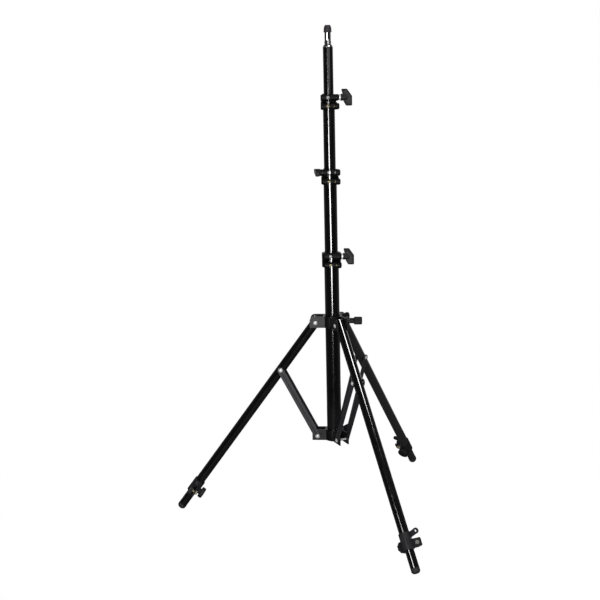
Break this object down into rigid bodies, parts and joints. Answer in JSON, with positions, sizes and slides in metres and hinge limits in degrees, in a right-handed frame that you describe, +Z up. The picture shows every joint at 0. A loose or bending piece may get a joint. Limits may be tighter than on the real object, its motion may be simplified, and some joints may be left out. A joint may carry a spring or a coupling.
{
  "type": "light stand",
  "caption": "Folding light stand with a telescoping clamped column, braced tubular legs with extensions and rubber feet, and a chrome spigot under a thread cap.",
  "frame": {"origin": "on the column's axis at floor level", "axes": "+Z up along the column; leg a runs out along -X, the clamp ears face -Y"},
  "size_m": [0.6593, 0.7512, 1.2766],
  "materials": {
    "tube_black": "gloss black lacquer on aluminium tube",
    "clamp_black": "satin black moulded plastic",
    "cast_grey": "satin dark grey paint",
    "steel": "bright plated steel",
    "spigot_chrome": "bright chrome",
    "foot_rubber": "moulded black rubber"
  },
  "bodies": {
    "column": {"base_tube": "tube_black", "base_plug": "clamp_black", "brace_collar": "cast_grey", "brace_foot_pins": "steel", "clamp_1_body": "clamp_black", "clamp_1_hardware": "steel"},
    "section_2": {"section_2_tube": "tube_black", "section_2_plug": "clamp_black", "clamp_2_body": "clamp_black", "clamp_2_hardware": "steel"},
    "section_3": {"section_3_tube": "tube_black", "section_3_plug": "clamp_black", "clamp_3_body": "clamp_black", "clamp_3_hardware": "steel"},
    "section_4": {"section_4_tube": "tube_black", "section_4_plug": "clamp_black", "spigot": "spigot_chrome"},
    "cap": {"spigot_cap": "clamp_black"},
    "leg_collar": {"leg_collar": "cast_grey", "leg_hinge_pins": "steel"},
    "collar_lock": {"collar_lock_knob": "clamp_black", "collar_lock_screw": "steel"},
    "clamp_1_knob": {"clamp_1_knob": "clamp_black", "clamp_1_screw": "steel"},
    "clamp_2_knob": {"clamp_2_knob": "clamp_black", "clamp_2_screw": "steel"},
    "clamp_3_knob": {"clamp_3_knob": "clamp_black", "clamp_3_screw": "steel"},
    "leg_a": {"leg_a_tube": "tube_black", "leg_a_clamp": "clamp_black", "leg_a_clamp_hardware": "steel"},
    "extension_a": {"leg_a_extension": "tube_black", "leg_a_foot": "foot_rubber"},
    "leg_a_knob": {"leg_a_knob": "clamp_black", "leg_a_screw": "steel"},
    "brace_a": {"brace_a_left": "cast_grey", "brace_a_right": "cast_grey", "brace_a_pin": "steel"},
    "leg_b": {"leg_b_tube": "tube_black", "leg_b_clamp": "clamp_black", "leg_b_clamp_hardware": "steel"},
    "extension_b": {"leg_b_extension": "tube_black", "leg_b_foot": "foot_rubber"},
    "leg_b_knob": {"leg_b_knob": "clamp_black", "leg_b_screw": "steel"},
    "brace_b": {"brace_b_left": "cast_grey", "brace_b_right": "cast_grey", "brace_b_pin": "steel"},
    "leg_c": {"leg_c_tube": "tube_black", "leg_c_clamp": "clamp_black", "leg_c_clamp_hardware": "steel"},
    "extension_c": {"leg_c_extension": "tube_black", "leg_c_foot": "foot_rubber"},
    "leg_c_knob": {"leg_c_knob": "clamp_black", "leg_c_screw": "steel"},
    "brace_c": {"brace_c_left": "cast_grey", "brace_c_right": "cast_grey", "brace_c_pin": "steel"}
  },
  "joints": [
    {"name": "leg_fold", "type": "hinge", "parent": "column", "child": "brace_a", "pos_m": [-0.044, 0, 0.21682], "axis": [0, 1, 0], "range_deg": [-2.89, 23.29]},
    {"name": "leg_a_hinge", "type": "hinge", "parent": "brace_a", "child": "leg_a", "pos_m": [-0.13777, 0, 0.39799], "axis": [0, 1, 0], "range_deg": [-54.43, 6.75]},
    {"name": "collar_hinge", "type": "hinge", "parent": "leg_a", "child": "leg_collar", "pos_m": [-0.044, 0, 0.5264], "axis": [0, 1, 0], "range_deg": [-3.86, 31.14]},
    {"name": "leg_b_hinge", "type": "hinge", "parent": "leg_collar", "child": "leg_b", "pos_m": [0.022, -0.03811, 0.5264], "axis": [-0.866, -0.5, 0], "range_deg": [-31.14, 3.86]},
    {"name": "brace_b_hinge", "type": "hinge", "parent": "column", "child": "brace_b", "pos_m": [0.022, -0.03811, 0.21682], "axis": [-0.866, -0.5, 0], "range_deg": [-2.89, 23.29]},
    {"name": "leg_c_hinge", "type": "hinge", "parent": "leg_collar", "child": "leg_c", "pos_m": [0.022, 0.03811, 0.5264], "axis": [0.866, -0.5, 0], "range_deg": [-31.14, 3.86]},
    {"name": "brace_c_hinge", "type": "hinge", "parent": "column", "child": "brace_c", "pos_m": [0.022, 0.03811, 0.21682], "axis": [0.866, -0.5, 0], "range_deg": [-2.89, 23.29]},
    {"name": "section_2_slide", "type": "slide", "parent": "column", "child": "section_2", "axis": [0, 0, 1], "range_m": [-0.169, 0.195]},
    {"name": "section_3_slide", "type": "slide", "parent": "section_2", "child": "section_3", "axis": [0, 0, 1], "range_m": [-0.144, 0.22]},
    {"name": "section_4_slide", "type": "slide", "parent": "section_3", "child": "section_4", "axis": [0, 0, 1], "range_m": [-0.108, 0.24]},
    {"name": "cap_pull", "type": "slide", "parent": "section_4", "child": "cap", "axis": [0, 0, 1], "range_m": [0, 0.06]},
    {"name": "clamp_1_turn", "type": "hinge", "parent": "column", "child": "clamp_1_knob", "pos_m": [0.0323, -0.0305, 0.7052], "axis": [1, 0, 0], "range_deg": [0, 270]},
    {"name": "clamp_2_turn", "type": "hinge", "parent": "section_2", "child": "clamp_2_knob", "pos_m": [-0.0193, -0.0285, 0.9178], "axis": [-1, 0, 0], "range_deg": [0, 270]},
    {"name": "clamp_3_turn", "type": "hinge", "parent": "section_3", "child": "clamp_3_knob", "pos_m": [0.0323, -0.0265, 1.1025], "axis": [1, 0, 0], "range_deg": [0, 270]},
    {"name": "collar_lock_turn", "type": "hinge", "parent": "leg_collar", "child": "collar_lock", "pos_m": [0.045, 0, 0.5294], "axis": [1, 0, 0], "range_deg": [0, 270]},
    {"name": "extension_a_slide", "type": "slide", "parent": "leg_a", "child": "extension_a", "axis": [-0.5898, 0, -0.8076], "range_m": [-0.043, 0.18]},
    {"name": "leg_a_clamp_turn", "type": "hinge", "parent": "leg_a", "child": "leg_a_knob", "pos_m": [-0.37024, 0, 0.05017], "axis": [0.8076, 0, -0.5898], "range_deg": [0, 270]},
    {"name": "extension_b_slide", "type": "slide", "parent": "leg_b", "child": "extension_b", "axis": [0.2949, -0.5107, -0.8076], "range_m": [-0.043, 0.18]},
    {"name": "leg_b_clamp_turn", "type": "hinge", "parent": "leg_b", "child": "leg_b_knob", "pos_m": [0.18512, -0.32064, 0.05017], "axis": [-0.4038, 0.6994, -0.5898], "range_deg": [0, 270]},
    {"name": "extension_c_slide", "type": "slide", "parent": "leg_c", "child": "extension_c", "axis": [0.2949, 0.5107, -0.8076], "range_m": [-0.043, 0.18]},
    {"name": "leg_c_clamp_turn", "type": "hinge", "parent": "leg_c", "child": "leg_c_knob", "pos_m": [0.18512, 0.32064, 0.05017], "axis": [-0.4038, -0.6994, -0.5898], "range_deg": [0, 270]}
  ],
  "couplings": [
    {"joint": "leg_a_hinge", "follows": "leg_fold", "ratio": -2.3373},
    {"joint": "collar_hinge", "follows": "leg_fold", "ratio": 1.3373},
    {"joint": "leg_b_hinge", "follows": "leg_fold", "ratio": -1.3373},
    {"joint": "brace_b_hinge", "follows": "leg_fold", "ratio": 1},
    {"joint": "leg_c_hinge", "follows": "leg_fold", "ratio": -1.3373},
    {"joint": "brace_c_hinge", "follows": "leg_fold", "ratio": 1}
  ]
}
